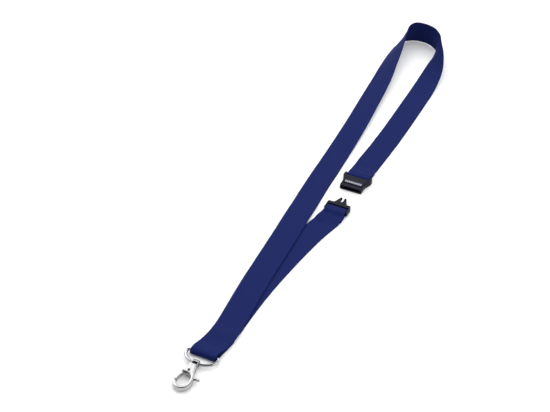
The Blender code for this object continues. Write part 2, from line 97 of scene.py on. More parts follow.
def soft_box(name, at, size, watts, mirrored=True):
    """Flat lamp at a place in metres, turned to the origin; mirrored says if metal shows it."""
    light = bpy.data.lights.new(name, "AREA")
    light.shape, light.size, light.size_y = "RECTANGLE", size[0], size[1]
    light.energy = watts
    obj = bpy.data.objects.new(name, light)
    obj.location = at
    obj.rotation_euler = look(-Vector(at))
    obj.visible_glossy = mirrored
    bpy.context.scene.collection.objects.link(obj)


make_camera()
soft_box("key_box", (-1.2, 0.3, 1.2), (1.6, 1.0), 11.0)
soft_box("back_box", (0.2, 1.4, 1.2), (1.8, 1.0), 6.0)
soft_box("side_box", (1.3, -0.1, 1.1), (1.4, 0.9), 8.0)
soft_box("top_box", (0.0, 0.1, 1.8), (2.4, 2.4), 26.0, mirrored=False)
bpy.context.scene.view_settings.view_transform = "Standard"
print("camera lens mm:", round(bpy.context.scene.camera.data.lens, 1))

# %% [markdown]
# ## How the materials are written
#
# Each material is a small node tree. One function turns an sRGB hex colour into the linear numbers
# that the shader wants, and one adds a node with its settings and its links.

# %% Colour and node helpers


def linear(hex_colour):
    """An sRGB hex colour as linear red, green, blue and alpha."""
    srgb = [int(hex_colour[i:i + 2], 16) / 255 for i in (1, 3, 5)]
    return (*[c / 12.92 if c <= 0.04045 else ((c + 0.055) / 1.055) ** 2.4 for c in srgb], 1.0)


def grey(value):
    """A grey for a ramp whose result is used as a number, such as roughness."""
    return (value, value, value, 1.0)


def add(tree, kind, links=(), **settings):
    """Add a node; links pairs its input sockets with a value or with another node's output."""
    node = tree.nodes.new(kind)
    for name, value in settings.items():
        setattr(node, name, value)
    for socket, value in dict(links).items():
        if isinstance(value, bpy.types.NodeSocket):
            tree.links.new(value, node.inputs[socket])
        else:
            node.inputs[socket].default_value = value
    return node


def new_material(name):
    """A material with an empty tree, its Principled BSDF and its output."""
    material = bpy.data.materials.new(name)
    material.use_nodes = True
    tree = material.node_tree
    tree.nodes.clear()
    shader = add(tree, "ShaderNodeBsdfPrincipled")
    add(tree, "ShaderNodeOutputMaterial", {"Surface": shader.outputs["BSDF"]})
    return material, tree, shader


def set_shader(tree, shader, **values):
    """Set or link the shader's inputs; an underscore in a name stands for a space."""
    for name, value in values.items():
        socket = shader.inputs[name.replace("_", " ")]
        if isinstance(value, bpy.types.NodeSocket):
            tree.links.new(value, socket)
        else:
            socket.default_value = value


def ramp(tree, factor, stops):
    """Colour ramp over a factor; each stop is a position and a colour."""
    node = add(tree, "ShaderNodeValToRGB", {"Fac": factor})
    elements = node.color_ramp.elements
    while len(elements) < len(stops):
        elements.new(0.5)
    for element, (at, colour) in zip(elements, stops):
        element.position, element.color = at, colour
    return node.outputs["Color"]


# %% [markdown]
# ## Room and table
#
# The room is a ramp over the height of each direction. It is pale at the horizon, dark just above it,
# bright half-way up its walls and dark overhead, and brighter at the back than in front. The table is
# plain white paper. Its tooth is finer than would show, so it is drawn 1.5 mm wide and very faint.

# %% Room and table
ROOM_BANDS = ((0.0, "#F4F5F7"), (0.05, "#141518"), (0.20, "#1C1D20"), (0.30, "#F0F2F5"),
              (0.70, "#FFFFFF"), (0.78, "#1E2024"))
ROOM_FRONT, ROOM_BACK = 0.5, 1.75
TABLE_HALF_M, TABLE_DROP, PAPER_TOOTH = 20.0, 0.1, 1.5


def make_room():
    """World whose brightness depends on the direction alone."""
    world = bpy.data.worlds.new("room")
    bpy.context.scene.world = world
    world.use_nodes = True
    tree = world.node_tree
    tree.nodes.clear()
    direction = add(tree, "ShaderNodeTexCoord")
    height = add(tree, "ShaderNodeSeparateXYZ", {0: direction.outputs["Generated"]})
    colour = ramp(tree, height.outputs["Z"], [(at, linear(tone)) for at, tone in ROOM_BANDS])
    depth = add(tree, "ShaderNodeMapRange", {"Value": height.outputs["Y"], "From Min": -1.0,
                                             "From Max": 1.0, "To Min": ROOM_FRONT,
                                             "To Max": ROOM_BACK})
    background = add(tree, "ShaderNodeBackground", {"Color": colour, "Strength": depth.outputs[0]})
    add(tree, "ShaderNodeOutputWorld", {"Surface": background.outputs[0]})


def make_table():
    """Paper sheet just under the object, so that nothing shares a face with it."""
    material, tree, shader = new_material("white_paper_table")
    place = add(tree, "ShaderNodeTexCoord").outputs["Object"]
    grain = add(tree, "ShaderNodeTexNoise", {"Vector": place, "Scale": 1 / (PAPER_TOOTH * MM),
                                             "Detail": 2.0})
    tone = ramp(tree, grain.outputs["Fac"], [(0.3, linear("#F6F6F6")), (0.7, linear("#FAFAFA"))])
    set_shader(tree, shader, Base_Color=tone, Roughness=0.85)
    bm = bmesh.new()
    bmesh.ops.create_grid(bm, x_segments=1, y_segments=1, size=TABLE_HALF_M)
    mesh = bpy.data.meshes.new("table")
    bm.to_mesh(mesh)
    bm.free()
    mesh.transform(Matrix.Translation((0.0, 0.0, -TABLE_DROP * MM)))
    mesh.materials.append(material)
    table = bpy.data.objects.new("table", mesh)
    bpy.context.scene.collection.objects.link(table)


make_room()
make_table()
print("table and room made")

# %% [markdown]
# ## Woven polyester ribbon
#
# The ribbon is a narrow fabric: polyester warp threads run along it, and a finer weft crosses them and
# turns back at each edge, which makes the selvedge. To the eye it is a deep, almost matt blue with a
# soft sheen at low angles. Real threads lie about 0.4 mm apart. Here they are drawn 0.9 mm apart along
# and 0.7 mm across, as a finer weave would melt away at viewing distance. The pattern reads the
# piece's own map, which holds millimetres across and along, so it bends with the cloth.

# %% Ribbon material
THREAD_ACROSS, THREAD_ALONG = 0.7, 0.9


def make_ribbon_material():
    """Painted shade in the gaps and painted light on the thread crowns, uneven yarn and slow patches of
    faded dye.
    """
    material, tree, shader = new_material("woven_polyester_blue")
    place = add(tree, "ShaderNodeUVMap", uv_map="weave")
    axes = add(tree, "ShaderNodeSeparateXYZ", {0: place.outputs["UV"]})

    def wave(output, pitch):
        turned = add(tree, "ShaderNodeMath", {0: output, 1: math.pi / pitch}, operation="MULTIPLY")
        return add(tree, "ShaderNodeMath", {0: turned.outputs[0]}, operation="SINE").outputs[0]

    crossing = add(tree, "ShaderNodeMath", {0: wave(axes.outputs["X"], THREAD_ACROSS),
                                            1: wave(axes.outputs["Y"], THREAD_ALONG)},
                   operation="MULTIPLY").outputs[0]
    lift = add(tree, "ShaderNodeMath", {0: crossing}, operation="ABSOLUTE").outputs[0]
    crown = add(tree, "ShaderNodeMath", {0: lift, 1: 0.6}, operation="POWER").outputs[0]
    yarn = add(tree, "ShaderNodeTexNoise", {"Vector": place.outputs["UV"], "Scale": 1.6, "Detail": 3.0})
    patch = add(tree, "ShaderNodeTexNoise", {"Vector": place.outputs["UV"], "Scale": 0.05,
                                             "Detail": 2.0})
    mixed = add(tree, "ShaderNodeMix", {"Factor": 0.35, "A": crown, "B": yarn.outputs["Fac"]},
                data_type="FLOAT")
    # painted shade and light: darker between threads, lighter on their crowns; the yarn noise is real
    # tone
    thread = ramp(tree, mixed.outputs["Result"], [
        (0.05, linear("#0A1238")), (0.45, linear("#111C4E")), (0.95, linear("#16245C"))])
    faded = add(tree, "ShaderNodeMix", {"Factor": patch.outputs["Fac"], "A": thread,
                                        "B": linear("#111D52")}, data_type="RGBA")
    rough = ramp(tree, crown, [(0.0, grey(0.80)), (1.0, grey(0.62))])
    bump = add(tree, "ShaderNodeBump", {"Height": mixed.outputs["Result"], "Strength": 0.55,
                                        "Distance": 0.12 * MM})
    set_shader(tree, shader, Base_Color=faded.outputs["Result"], Roughness=rough,
               Normal=bump.outputs["Normal"], Specular_IOR_Level=0.08, Sheen_Weight=0.04,
               Sheen_Roughness=0.45, Sheen_Tint=linear("#3B4BB0"))
    return material


ribbon_blue = make_ribbon_material()
print("material:", ribbon_blue.name)

# %% [markdown]
# ## The way the ribbons lie
#
# A free ribbon has a centre line and, at each point of it, a direction across its width. The long one
# starts under the ring stack, turns round the ring's bar, runs up the left side, stands on its edge
# round the neck loop, comes down the right side and wraps the bar of the buckle socket. A smooth curve
# passes through chosen points. Heights get limited slopes, so the cloth never dips under the table.

# %% Sizes of the route, in millimetres, with the ring's bar centre at x = y = 0
SHIFT = Vector((-6.935, -201.385, 0.0))
RIBBON_W, RIBBON_T = 20.0, 0.8
HALF = RIBBON_W / 2
LAYER = RIBBON_T + 0.3
L0, L1, L2 = RIBBON_T / 2, RIBBON_T / 2 + LAYER, RIBBON_T / 2 + 2 * LAYER
RING_Z = 2.7
FOLD_R = RING_Z - RIBBON_T / 2
BAR_Z, BAR_T = 2.3, 1.8
WRAP_R = BAR_T / 2 + 0.3 + RIBBON_T / 2
HEM = 12.0
BUCKLE_X, SOCKET_BAR_Y, PLUG_BAR_Y = 22.8, 223.4, 181.6
GATHER_SOCKET, GATHER_PLUG = 1.2, 3.0
X_FOLD, X_LOW = 1.8, 4.6
FLAT = (1.0, 0.0, 0.0, 1.0)
print("heights of three layers mm:", [round(z, 2) for z in (L0, L1, L2)])

# %% Smooth curve through chosen points


def spline(points, step):
    """Smooth curve through rows of numbers; the first three columns give its length."""
    p = np.array(points, float)
    h = np.linalg.norm(np.diff(p[:, :3], axis=0), axis=1)
    slope = np.diff(p, axis=0) / h[:, None]
    inner = (slope[:-1] * h[1:, None] + slope[1:] * h[:-1, None]) / (h[:-1] + h[1:])[:, None]
    m = np.vstack([slope[:1], inner, slope[-1:]])
    for i in range(1, len(p) - 1):
        a, b = slope[i - 1, 2], slope[i, 2]
        m[i, 2] = 0.0 if a * b <= 0 else 3 * a * b / (a + b + max(a, b, key=abs))
    out = []
    for i in range(len(h)):
        parts = max(1, math.ceil(h[i] / step))
        for u in np.arange(parts) / parts:
            out.append((2 * u ** 3 - 3 * u ** 2 + 1) * p[i] + (3 * u ** 2 - 2 * u ** 3) * p[i + 1]
                       + (u ** 3 - 2 * u ** 2 + u) * h[i] * m[i]
                       + (u ** 3 - u ** 2) * h[i] * m[i + 1])
    out.append(p[-1])
    return np.array(out)


# %% A ribbon that leans, and one that wraps a buckle bar


def lean(wx, wy):
    """Width direction that leans up by as much as its plan length leaves."""
    return (wx, wy, math.sqrt(max(0.0, 1 - wx * wx - wy * wy)), 1.0)


def wrap(x, y_end, away, height_start, gather):
    """Ribbon over a buckle bar with its round edge at y_end, gathered by some mm, then back."""
    cy = y_end + away * BAR_T / 2
    run = [(x, y_end + away * 17.0, L0, 0.0), (x, y_end + away * 12.8, height_start, 0.1),
           (x, y_end + away * 8.2, height_start + 0.75, 0.45),
           (x, cy + away * 3.8, BAR_Z + WRAP_R, 1.0)]
    for degrees in range(0, 181, 20):
        a = math.radians(degrees)
        run.append((x, cy - away * WRAP_R * math.sin(a), BAR_Z + WRAP_R * math.cos(a), 1.0))
    run += [(x, cy + away * 3.8, BAR_Z - WRAP_R, 1.0), (x, cy + away * 6.0, L0, 0.7),
            (x, y_end + away * HEM, L0, 0.2)]
    return [((px, py, pz), (1.0, 0.0, 0.0, 1 - share * gather / RIBBON_W))
            for px, py, pz, share in run]


# %% Route of the long ribbon
long_route = [((X_FOLD + 2.8, 22.0, L0), FLAT), ((X_FOLD + 1.7, 14.0, L0), FLAT),
              ((X_FOLD + 0.4, 6.0, L0), FLAT)]
for degrees in range(0, 181, 15):
    a = math.radians(degrees)
    long_route.append(((X_FOLD, -FOLD_R * math.sin(a), RING_Z - FOLD_R * math.cos(a)), FLAT))
long_route += [((x, y, z), FLAT) for x, y, z in (
    (X_FOLD, 2.2, RING_Z + FOLD_R - 0.12), (X_FOLD + 0.4, 6.0, RING_Z + FOLD_R - 0.9),
    (X_FOLD + 1.2, 10.5, L2 + 0.45), (X_FOLD + 1.9, 15.0, L2 + 0.04), (X_FOLD + 2.6, 20.0, L2),
    (4.6, 25.0, L2 - 0.05), (4.5, 31.0, L1 + 0.28), (4.0, 39.0, L1), (2.9, 54.0, L1),
    (1.3, 78.0, L1), (0.3, 104.0, L1), (-0.8, 134.0, L1), (-1.9, 158.0, L1),
    (-2.8, 176.0, L0 + 0.5), (-4.0, 198.0, L0))]
long_route += [((x, y, L0 + HALF * w[2]), w) for x, y, w in (
    (-4.8, 230.0, lean(1.0, 0.0)), (-5.6, 262.0, lean(0.998, 0.0)),
    (-6.9, 295.0, lean(0.990, 0.0)), (-8.6, 322.0, lean(0.980, 0.0)),
    (-9.9, 343.0, lean(0.965, 0.0)), (-11.1, 361.0, lean(0.933, 0.0)),
    (-12.8, 378.0, lean(0.870, 0.0)), (-14.1, 393.0, lean(0.795, 0.01)),
    (-15.2, 407.0, lean(0.68, 0.02)), (-15.6, 420.0, lean(0.50, 0.03)),
    (-13.8, 431.0, lean(0.27, 0.02)), (-7.9, 437.0, lean(0.07, 0.02)),
    (1.3, 437.7, lean(0.0, 0.02)), (10.4, 434.2, lean(0.04, 0.02)),
    (16.4, 428.0, lean(0.14, -0.08)), (19.6, 418.0, lean(0.35, -0.16)),
    (23.0, 405.0, lean(0.70, -0.05)), (25.4, 391.0, lean(0.92, 0.0)),
    (26.2, 374.0, lean(0.993, 0.0)), (26.2, 350.0, lean(1.0, 0.0)),
    (25.9, 320.0, lean(1.0, 0.0)), (25.3, 290.0, lean(1.0, 0.0)),
    (24.3, 267.0, lean(1.0, 0.0)))]
long_route += wrap(BUCKLE_X, SOCKET_BAR_Y, 1, L1 + 0.02, GATHER_SOCKET)
print("long ribbon: points", len(long_route))

# %% Route of the short ribbon
short_route = [((X_FOLD + 0.4, 5.6, L1), FLAT), ((X_FOLD + 1.4, 12.0, L1), FLAT),
               ((X_FOLD + 2.6, 20.0, L1), FLAT), ((X_LOW, 26.0, L1 - 0.12), FLAT)]
short_route += [((X_LOW + share * (BUCKLE_X - X_LOW), y, z), FLAT) for share, y, z in (
    (0.0, 33.0, L0 + 0.1), (0.0055, 41.0, L0), (0.055, 67.0, L0), (0.176, 92.0, L0),
    (0.341, 116.0, L0), (0.4945, 134.0, L0), (0.637, 148.0, L0), (0.753, 157.0, L0),
    (0.841, 163.0, L0))]
# The ribbon reaches the plug from its left, so the outer points of the wrap lie a little that way.
plug_run = wrap(BUCKLE_X, PLUG_BAR_Y, -1, L1 + 0.02, GATHER_PLUG)[1:]
for row, shift_x in ((0, -1.3), (1, -0.3), (-2, -0.15), (-1, -0.9)):
    (px, py, pz), width = plug_run[row]
    plug_run[row] = ((px + shift_x, py, pz), width)
short_route += plug_run
print("short ribbon: points", len(short_route))

# %% [markdown]
# ## Ribbon mesh
#
# A strip is a loft: the same cross-section is set up at each station of the route. The section is not
# a plain rectangle. It is 0.7 mm thick in the middle and swells to 0.8 mm at the selvedges, where the
# weft turns back, and its edges are round. The edge line wavers by some hundredths of a millimetre,
# and the cloth is drawn in where a seam crosses it.

# %% Cross-section and stations of a ribbon
SECTION = [(-1.0, 0.30), (-0.992, 0.72), (-0.965, 1.0), (-0.93, 1.0), (-0.88, 0.9), (-0.72, 0.86),
           (-0.5, 0.86), (-0.25, 0.87), (0.0, 0.87)]
SECTION = SECTION + [(-u, v) for u, v in SECTION[-2::-1]]
ROW_STEP = 0.8
print("points round the section:", 2 * len(SECTION))


def stations(route):
    """Evenly spaced rows: distance along, centre, width direction, normal and half width."""
    rows = spline([(*c, *w) for c, w in route], 0.5)
    along = np.concatenate([[0], np.cumsum(np.linalg.norm(np.diff(rows[:, :3], axis=0), axis=1))])
    even = np.linspace(0, along[-1], int(along[-1] / ROW_STEP) + 1)
    rows = np.column_stack([np.interp(even, along, rows[:, i]) for i in range(7)])
    centre, width, half = rows[:, :3], rows[:, 3:6], rows[:, 6] * HALF
    tangent = np.gradient(centre, axis=0)
    tangent /= np.linalg.norm(tangent, axis=1)[:, None]
    width = width - (width * tangent).sum(1)[:, None] * tangent
    width /= np.linalg.norm(width, axis=1)[:, None]
    normal = np.cross(width, tangent)
    reach = np.abs(width[:, 2]) * half + np.abs(normal[:, 2]) * RIBBON_T / 2
    centre[:, 2] = np.maximum(centre[:, 2], reach)
    return {"along": even, "centre": centre, "width": width, "normal": normal, "half": half}


# %% Loft one ribbon
WAVER, WAVER_STEP = 0.035, 6
SEAM_PULL, SEAM_REACH = 0.2, 0.9
EDGE_INSET = 0.06


def link_mesh(name, mesh, material):
    """Object for a mesh with one material."""
    mesh.materials.clear()
    mesh.materials.append(material)
    obj = bpy.data.objects.new(name, mesh)
    bpy.context.scene.collection.objects.link(obj)
    return obj


def make_ribbon(name, lay, seams, seed):
    """Loft one ribbon; seams are the distances along it where stitching draws it in."""
    even = lay["along"]
    rng = np.random.default_rng(seed)
    knots = int(even[-1] / WAVER_STEP)
    waver = np.interp(even, np.linspace(0, even[-1], knots), rng.normal(0, WAVER, knots))
    thin = np.ones(len(even))
    for seam in seams:
        thin -= SEAM_PULL * np.exp(-((even - seam) / SEAM_REACH) ** 2)
    loop = [(u, v) for u, v in SECTION] + [(u, -v) for u, v in SECTION[::-1]]
    across = np.array([u for u, v in loop])
    thick = np.array([v for u, v in loop]) * RIBBON_T / 2
    bm = bmesh.new()
    weave = bm.loops.layers.uv.new("weave")
    rows = []
    for i in range(len(even)):
        half = lay["half"][i] - EDGE_INSET + waver[i]
        points = (lay["centre"][i] + lay["width"][i] * (across * half)[:, None]
                  + lay["normal"][i] * (thick * thin[i])[:, None])
        rows.append([bm.verts.new((Vector(p) + SHIFT) * MM) for p in points])
    count = len(loop)
    for i in range(len(rows) - 1):
        for k in range(count):
            j = (k + 1) % count
            face = bm.faces.new((rows[i][k], rows[i][j], rows[i + 1][j], rows[i + 1][k]))
            face.smooth = True
            for corner, (row, column) in zip(face.loops, ((i, k), (i, j), (i + 1, j), (i + 1, k))):
                corner[weave].uv = (across[column] * HALF, even[row])
    side = count // 2
    for row, at in ((rows[0], even[0]), (rows[-1], even[-1])):
        for k in range(side - 1):
            face = bm.faces.new((row[k], row[k + 1], row[count - 2 - k], row[count - 1 - k]))
            for corner in face.loops:
                corner[weave].uv = (across[k] * HALF, at)
    bmesh.ops.recalc_face_normals(bm, faces=bm.faces)
    mesh = bpy.data.meshes.new(name)
    bm.to_mesh(mesh)
    bm.free()
    print(f"{name}: length {even[-1]:.1f} mm, {len(mesh.polygons)} faces")
    return link_mesh(name, mesh, ribbon_blue)


# %% Seam places and both ribbons


def row_at(lay, y):
    """Number of the row where the upper pass of a ribbon crosses y."""
    near = np.where(np.abs(lay["centre"][:, 1] - y) < ROW_STEP)[0]
    return int(max(near, key=lambda i: lay["centre"][i, 2]))


STACK_SEAMS_Y = (16.6, 19.4)
SOCKET_HEM_Y, PLUG_HEM_Y = SOCKET_BAR_Y + 10.4, PLUG_BAR_Y - 10.2
long_lay, short_lay = stations(long_route), stations(short_route)
long_seams = [long_lay["along"][row_at(long_lay, y)] for y in (*STACK_SEAMS_Y, SOCKET_HEM_Y)]
short_seams = [short_lay["along"][row_at(short_lay, PLUG_HEM_Y)]]
long_ribbon = make_ribbon("long_ribbon", long_lay, long_seams, 11)
short_ribbon = make_ribbon("short_ribbon", short_lay, short_seams, 12)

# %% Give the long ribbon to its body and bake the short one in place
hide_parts("long_strap")
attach(long_ribbon, "straps")
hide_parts("short_strap")
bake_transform(short_ribbon)

# %% [markdown]
# ## Sewing thread, laid by Geometry Nodes
#
# The ribbon ends are sewn down with lockstitch. Each stitch shows as a short round bar of thread that
# sinks into the cloth at both ends. A node tree takes a line across the ribbon, sets points along it at
# the stitch pitch and puts one tapered bar on each, turned along the line. A fixed seed turns each a
# little, as sewn stitches never lie quite straight. The thread itself is spun polyester, as dark as the
# cloth but a little glossier, and its twisted plies show as slanting bands 0.4 mm apart.

# %% Thread material


def make_thread_material():
    """Navy thread with the slanting bands of its twisted plies."""
    material, tree, shader = new_material("spun_polyester_thread_navy")
    place = add(tree, "ShaderNodeTexCoord")
    ply = add(tree, "ShaderNodeTexWave", {"Vector": place.outputs["Object"], "Scale": 900.0,
                                          "Distortion": 1.5}, bands_direction="DIAGONAL")
    tone = ramp(tree, ply.outputs["Fac"], [(0.0, linear("#0A1136")), (1.0, linear("#18225C"))])
    bump = add(tree, "ShaderNodeBump", {"Height": ply.outputs["Fac"], "Strength": 0.4,
                                        "Distance": 0.05 * MM})
    set_shader(tree, shader, Base_Color=tone, Normal=bump.outputs["Normal"], Roughness=0.6,
               Specular_IOR_Level=0.35)
    return material


thread_navy = make_thread_material()
print("material:", thread_navy.name)

# %% Node tree for rows of stitches


def row_tree(name):
    """Tree that sets bars along a line: pitch, bar length, radii, turn, seed and material."""
    tree = bpy.data.node_groups.new(name, "GeometryNodeTree")
    tree.interface.new_socket("Geometry", in_out="INPUT", socket_type="NodeSocketGeometry")
    for label, kind in (("Pitch", "Float"), ("Bar Length", "Float"), ("Thread Radius", "Float"),
                        ("Flatness", "Float"), ("Wander", "Float"), ("Seed", "Int"),
                        ("Finish", "Material")):
        tree.interface.new_socket(label, in_out="INPUT", socket_type="NodeSocket" + kind)
    tree.interface.new_socket("Geometry", in_out="OUTPUT", socket_type="NodeSocketGeometry")
    given = add(tree, "NodeGroupInput").outputs
    line = add(tree, "GeometryNodeMeshToCurve", {"Mesh": given["Geometry"]})
    points = add(tree, "GeometryNodeCurveToPoints", {"Curve": line.outputs[0],
                                                     "Length": given["Pitch"]}, mode="LENGTH")
    bar = add(tree, "GeometryNodeMeshUVSphere", {"Segments": 8, "Rings": 6, "Radius": 1.0})
    half = add(tree, "ShaderNodeMath", {0: given["Bar Length"], 1: 0.5}, operation="MULTIPLY")
    low = add(tree, "ShaderNodeMath", {0: given["Thread Radius"], 1: given["Flatness"]},
              operation="MULTIPLY")
    size = add(tree, "ShaderNodeCombineXYZ", {0: low.outputs[0], 1: given["Thread Radius"],
                                              2: half.outputs[0]})
    shaped = add(tree, "GeometryNodeTransform", {"Geometry": bar.outputs["Mesh"],
                                                 "Scale": size.outputs[0]})
    back = add(tree, "ShaderNodeMath", {0: given["Wander"], 1: -1.0}, operation="MULTIPLY")
    stray = add(tree, "FunctionNodeRandomValue", {"Min": back.outputs[0], "Max": given["Wander"],
                                                  "Seed": given["Seed"]}, data_type="FLOAT")
    stray_value = next(o for o in stray.outputs if o.enabled)
    twist = add(tree, "ShaderNodeCombineXYZ", {0: stray_value})
    turned = add(tree, "FunctionNodeRotateRotation", {"Rotation": points.outputs["Rotation"],
                                                      "Rotate By": twist.outputs[0]},
                 rotation_space="LOCAL")
    placed = add(tree, "GeometryNodeInstanceOnPoints", {"Points": points.outputs["Points"],
                                                        "Instance": shaped.outputs[0],
                                                        "Rotation": turned.outputs[0]})
    real = add(tree, "GeometryNodeRealizeInstances", {"Geometry": placed.outputs[0]})
    painted = add(tree, "GeometryNodeSetMaterial", {"Geometry": real.outputs[0],
                                                    "Material": given["Finish"]})
    add(tree, "NodeGroupOutput", {0: painted.outputs[0]})
    return tree


stitch_tree = row_tree("lockstitch_row")
print("tree inputs:", [i.name for i in stitch_tree.interface.items_tree if i.in_out == "INPUT"])

# %% Lines to sew along
SEAM_THICKNESS, SEAM_SINK, SEAM_INSET, SEAM_POINTS = 0.72, 0.02, 1.3, 24


def seam_line(lay, y):
    """Points across a ribbon, laid on its thinned upper face and sunk into it a little."""
    i = row_at(lay, y)
    up = 1.0 if lay["normal"][i, 2] > 0 else -1.0
    face = lay["normal"][i] * up * (RIBBON_T / 2 * SEAM_THICKNESS - SEAM_SINK)
    reach = lay["half"][i] - SEAM_INSET
    return [lay["centre"][i] + face + lay["width"][i] * u
            for u in np.linspace(-reach, reach, SEAM_POINTS)]


stack_lines = [seam_line(long_lay, y) for y in STACK_SEAMS_Y]
socket_line, plug_line = seam_line(long_lay, SOCKET_HEM_Y), seam_line(short_lay, PLUG_HEM_Y)
print("seam lengths mm:", [round(float(np.linalg.norm(line[-1] - line[0])), 1)
                           for line in (*stack_lines, socket_line, plug_line)])

# %% The tree's result as a plain mesh
THREAD_R, STITCH_PITCH, STITCH_LENGTH = 0.26, 2.3, 2.0


def bars_along(name, lines, tree, material, **inputs):
    """Run a row tree over some lines (mm) and keep its result as one plain mesh object."""
    bm = bmesh.new()
    for line in lines:
        verts = [bm.verts.new((Vector(p) + SHIFT) * MM) for p in line]
        for a, b in zip(verts, verts[1:]):
            bm.edges.new((a, b))
    mesh = bpy.data.meshes.new(name + "_line")
    bm.to_mesh(mesh)
    bm.free()
    obj = bpy.data.objects.new(name, mesh)
    bpy.context.scene.collection.objects.link(obj)
    modifier = obj.modifiers.new("row", "NODES")
    modifier.node_group = tree
    sockets = {item.name: item.identifier for item in tree.interface.items_tree
               if item.in_out == "INPUT"}
    for label, value in inputs.items():
        modifier[sockets[label.replace("_", " ")]] = value
    modifier[sockets["Finish"]] = material
    deps = bpy.context.evaluated_depsgraph_get()
    made = bpy.data.meshes.new_from_object(obj.evaluated_get(deps))
    obj.modifiers.clear()
    obj.data = made
    made.materials.clear()
    made.materials.append(material)
    made.polygons.foreach_set("use_smooth", [True] * len(made.polygons))
    print(f"{name}: {len(made.polygons)} faces")
    return obj


def sew(name, lines, seed):
    """One row of stitches along each line."""
    return bars_along(name, lines, stitch_tree, thread_navy, Pitch=STITCH_PITCH * MM,
                      Bar_Length=STITCH_LENGTH * MM, Thread_Radius=THREAD_R * MM, Flatness=0.8,
                      Wander=0.10, Seed=seed)


stack_stitches = sew("stack_stitches", stack_lines, 21)
socket_stitches = sew("socket_hem_stitches", [socket_line], 22)
plug_stitches = sew("plug_hem_stitches", [plug_line], 23)
for stitches, body in ((stack_stitches, "straps"), (socket_stitches, "straps"),
                       (plug_stitches, "plug")):
    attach(stitches, body)
print("stitches ride on: straps, straps, plug")

# %% [markdown]
# ## Bright nickel plate
#
# The hook and its trigger are cast zinc, barrel-polished and nickel plated; the D-ring is steel wire
# with the same plate. Nickel is a warm white metal. Polishing leaves very shallow waves about 3 mm
# long, which bend reflections, and handling leaves hair scratches, drawn 2 mm long and a seventh of a
# millimetre wide. Creases get painted shade, a greyer tone.

# %% Nickel and spring steel


def metal_waves(tree, place, wave_mm, depth_mm, scratch_share):
    """Bump of shallow polishing waves with hair scratches on top."""
    waves = add(tree, "ShaderNodeTexNoise", {"Vector": place, "Scale": 1 / (wave_mm * MM),
                                             "Detail": 1.0})
    stretched = add(tree, "ShaderNodeMapping", {"Vector": place, "Rotation": (0.3, 0.2, 0.9),
                                                "Scale": (1.0, 14.0, 1.0)})
    hair = add(tree, "ShaderNodeTexNoise", {"Vector": stretched.outputs[0], "Scale": 1 / (2.0 * MM),
                                            "Detail": 3.0})
    both = add(tree, "ShaderNodeMix", {"Factor": scratch_share, "A": waves.outputs["Fac"],
                                       "B": hair.outputs["Fac"]}, data_type="FLOAT")
    bump = add(tree, "ShaderNodeBump", {"Height": both.outputs["Result"], "Strength": 0.5,
                                        "Distance": depth_mm * MM})
    return bump.outputs["Normal"], hair.outputs["Fac"]


def make_metal(name, light, dark, rough, wave_mm, depth_mm, scratch_share):
    """Plated or drawn metal with painted shade in its creases, and waves of a size and depth in mm."""
    material, tree, shader = new_material(name)
    place = add(tree, "ShaderNodeTexCoord").outputs["Object"]
    normal, hair = metal_waves(tree, place, wave_mm, depth_mm, scratch_share)
    crease = add(tree, "ShaderNodeNewGeometry").outputs["Pointiness"]
    # painted shade: concave creases (low pointiness) take the dark colour
    tone = ramp(tree, crease, [(0.40, linear(dark)), (0.50, linear(light))])
    gloss = ramp(tree, hair, [(0.3, grey(rough * 0.8)), (0.75, grey(rough * 1.5))])
    set_shader(tree, shader, Base_Color=tone, Roughness=gloss, Normal=normal, Metallic=1.0)
    return material


# The second colour of each metal is painted shade for its creases.
nickel_cast = make_metal("nickel_plated_cast_zinc", "#B0B0B0", "#3C3D40", 0.13, 3.0, 0.05, 0.12)
nickel_wire = make_metal("nickel_plated_steel_wire", "#B2B2B2", "#595A5C", 0.12, 4.0, 0.03, 0.12)
# painted shade: the rivet is coloured far darker than the plate, for the shade in its dimples
rivet_metal_painted_shade = make_metal("nickel_plated_rivet_painted_shade", "#6A6967", "#333336", 0.3, 1.0, 0.02, 0.3)
spring_steel = make_metal("drawn_spring_steel", "#A5A6A8", "#55565A", 0.28, 0.8, 0.01, 0.5)
print("metals:", nickel_cast.name, nickel_wire.name, rivet_metal_painted_shade.name, spring_steel.name)

# %% [markdown]
# ## D-ring and spring, swept from wire
#
# Both are bent from round wire, so both are a circle swept along a path. The ring's path is made of a
# straight bar, tight corners, wide shoulders and a shallow bottom arc that the hook slides on.

# %% Wire sweep


def sweep(name, path, radius, sides, cyclic, material):
    """Round wire along a path in mm; frames turn as little as possible from point to point."""
    p = np.array(path, float)
    after = np.roll(p, -1, axis=0) if cyclic else np.vstack([p[1:], 2 * p[-1:] - p[-2:-1]])
    before = np.roll(p, 1, axis=0) if cyclic else np.vstack([2 * p[:1] - p[1:2], p[:-1]])
    tangent = after - before
    tangent /= np.linalg.norm(tangent, axis=1)[:, None]
    bm = bmesh.new()
    rings = []
    for centre, t in zip(p, tangent):
        side = np.cross(t, (0.0, 0.0, 1.0))
        side /= np.linalg.norm(side)
        up = np.cross(side, t)
        rings.append([bm.verts.new((Vector(centre + radius * (math.cos(a) * side
                                                              + math.sin(a) * up)) + SHIFT) * MM)
                      for a in np.linspace(0, 2 * math.pi, sides, endpoint=False)])
    pairs = list(zip(rings, rings[1:] + ([rings[0]] if cyclic else [])))
    for a, b in pairs:
        for k in range(sides):
            j = (k + 1) % sides
            bm.faces.new((a[k], a[j], b[j], b[k])).smooth = True
    if not cyclic:
        bm.faces.new(rings[0])
        bm.faces.new(rings[-1])
    bmesh.ops.recalc_face_normals(bm, faces=bm.faces)
    mesh = bpy.data.meshes.new(name)
    bm.to_mesh(mesh)
    bm.free()
    print(f"{name}: {len(mesh.polygons)} faces")
    return link_mesh(name, mesh, material)


def arc(cx, cy, radius, start, end, steps):
    """Points of an arc in degrees, without its first point."""
    angles = [math.radians(start + (end - start) * k / steps) for k in range(1, steps + 1)]
    return [(cx + radius * math.cos(a), cy + radius * math.sin(a)) for a in angles]


